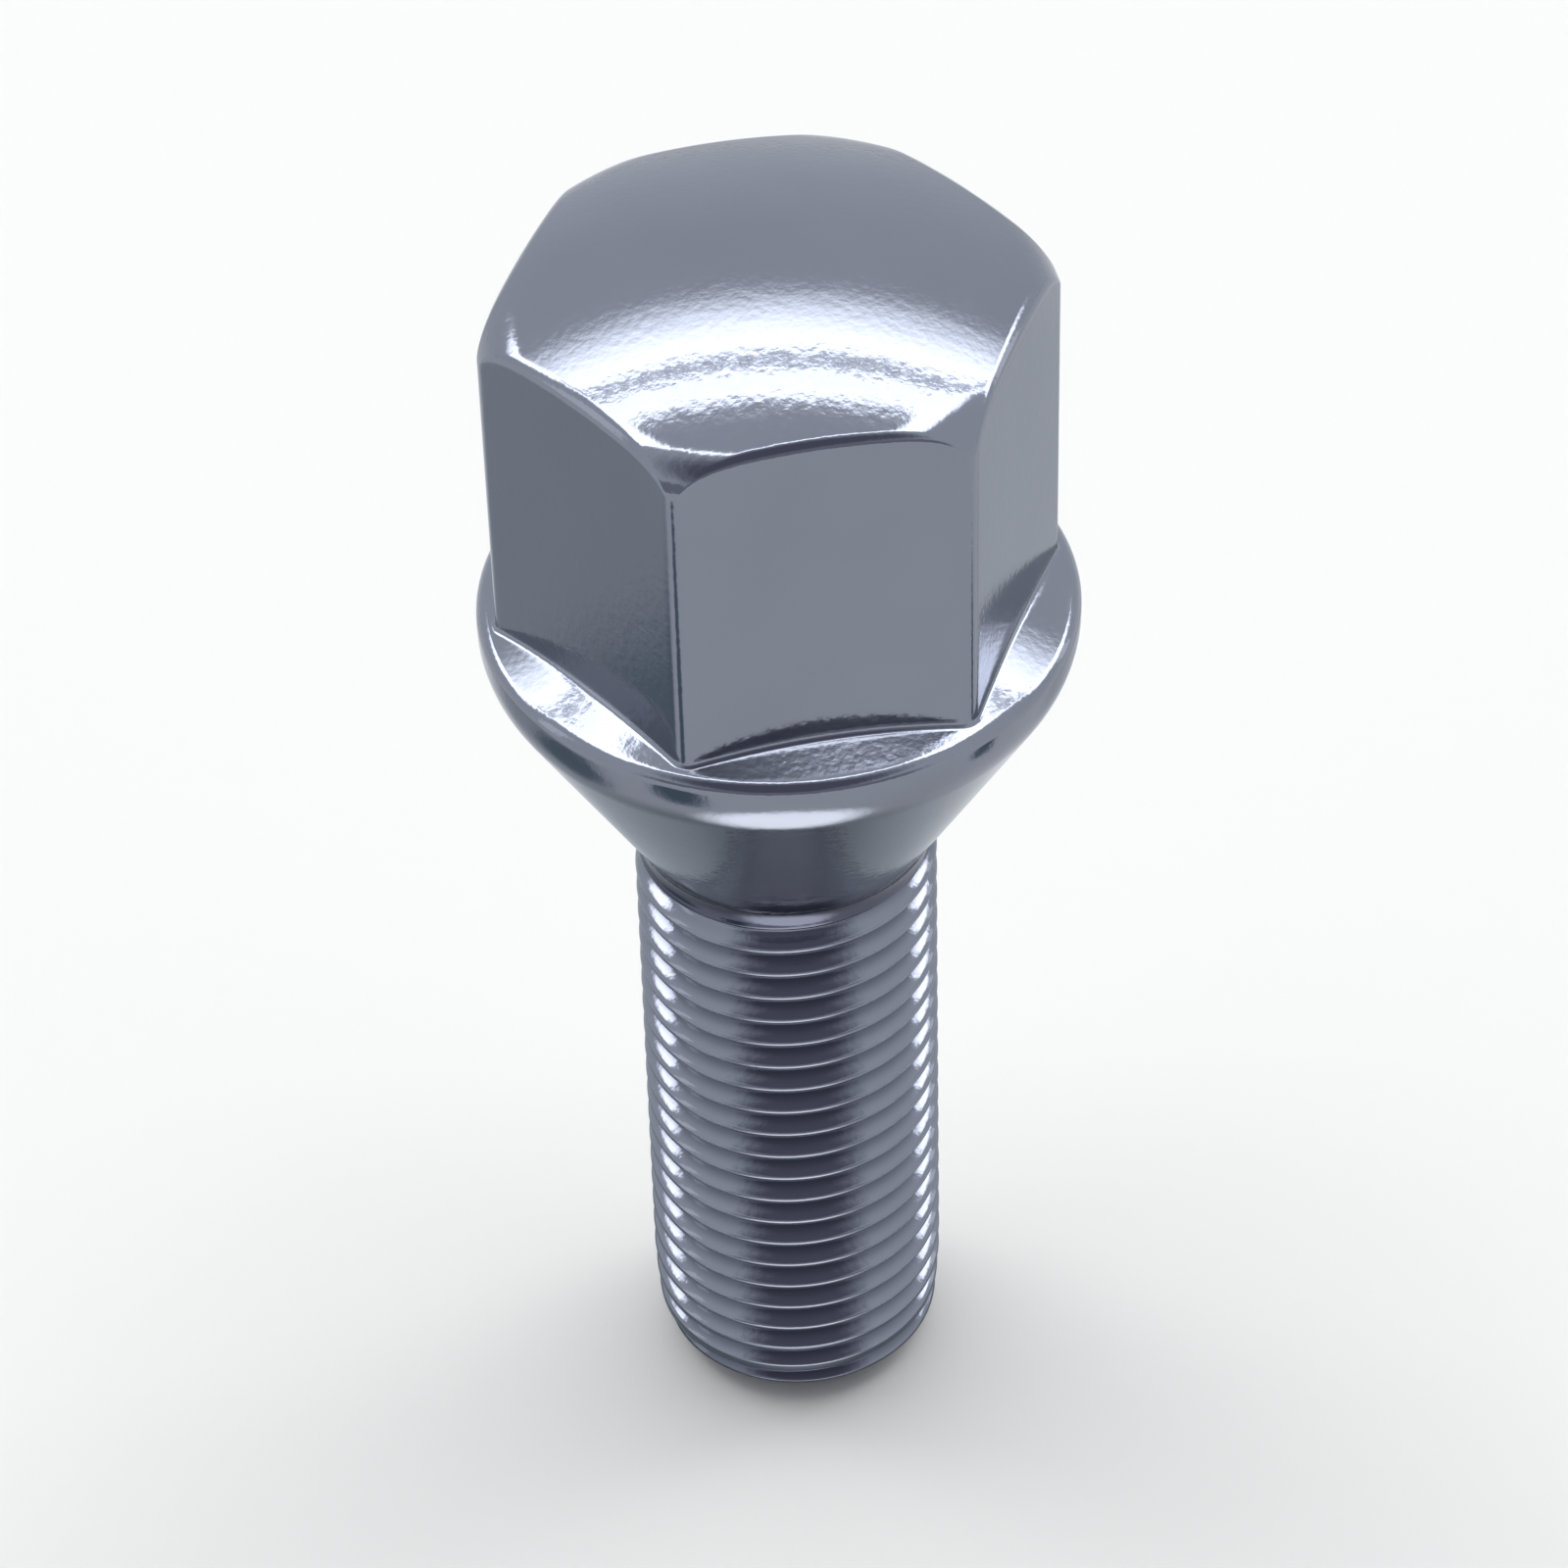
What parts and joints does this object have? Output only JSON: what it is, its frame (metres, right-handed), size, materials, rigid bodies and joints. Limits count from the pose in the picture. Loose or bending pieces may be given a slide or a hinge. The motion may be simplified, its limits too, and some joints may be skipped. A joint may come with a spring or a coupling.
{
  "type": "wheel bolt",
  "caption": "Chromed wheel bolt with a domed hexagon head, collar, conical seat and fine thread, for fastening a road wheel to its hub.",
  "frame": {"origin": "centre of the flat end face of the thread", "axes": "+Z along the bolt's axis, from the end face to the crown of the head; two flats of the hexagon face +Y and -Y"},
  "size_m": [0.023, 0.023, 0.0552],
  "materials": {
    "bright_chrome": "bright chrome plate over forged steel, faint orange peel"
  },
  "bodies": {
    "root": {"wheel_bolt": "bright_chrome"}
  },
  "joints": []
}
